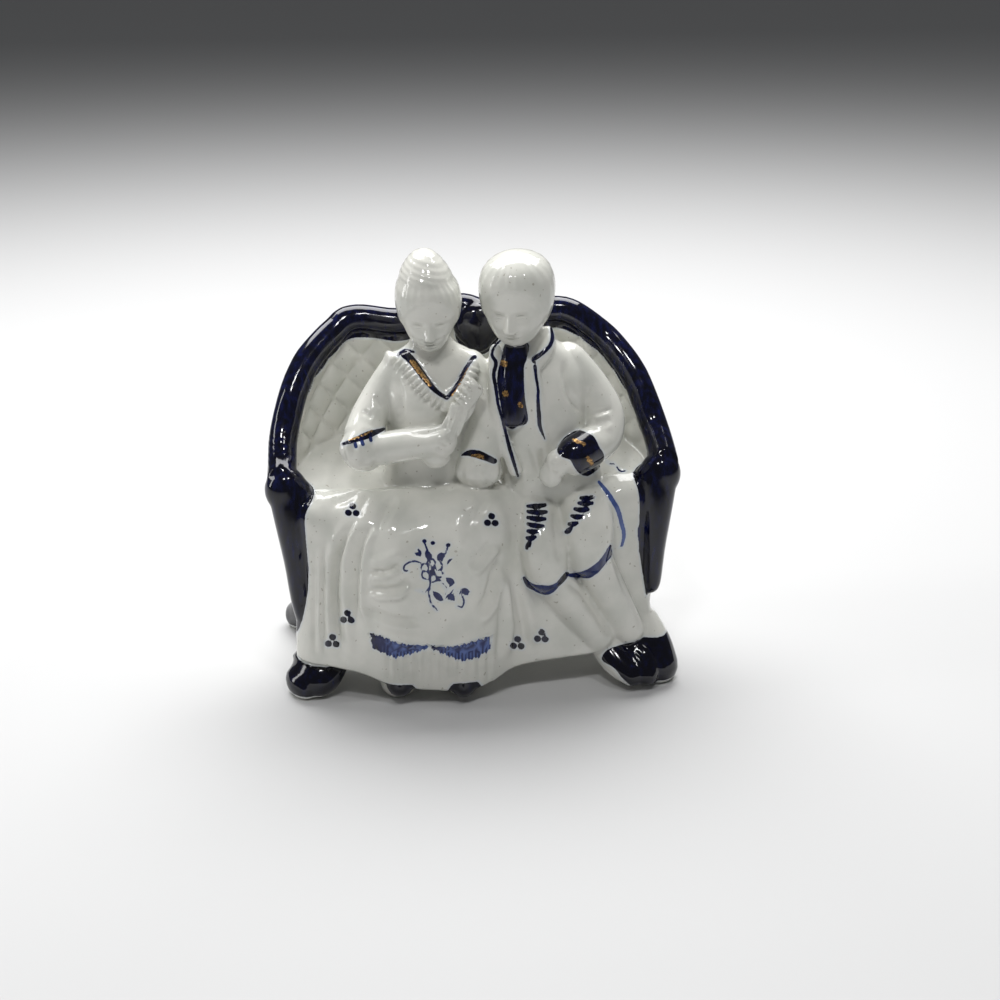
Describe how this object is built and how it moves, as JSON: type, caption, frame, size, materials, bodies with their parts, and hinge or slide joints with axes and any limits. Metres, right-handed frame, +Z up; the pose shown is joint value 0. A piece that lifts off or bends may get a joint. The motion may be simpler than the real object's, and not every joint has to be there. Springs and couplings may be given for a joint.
{
  "type": "courting couple figurine",
  "caption": "Glazed porcelain figurine of a lady and a gentleman seated close together on a tufted settee, with cobalt trim, for a shelf or mantel.",
  "frame": {"origin": "centre of the bounding box in plan, at the ground under the feet", "axes": "+Z up, the couple faces -Y, +X to the right of someone who looks at their faces; the lady sits at -X and the gentleman at +X"},
  "size_m": [0.0978, 0.0502, 0.1049],
  "materials": {
    "glazed_porcelain": "clear gloss glaze over white porcelain with cobalt underglaze painting and small gold touches"
  },
  "bodies": {
    "root": {"courting_couple": "glazed_porcelain"}
  },
  "joints": []
}
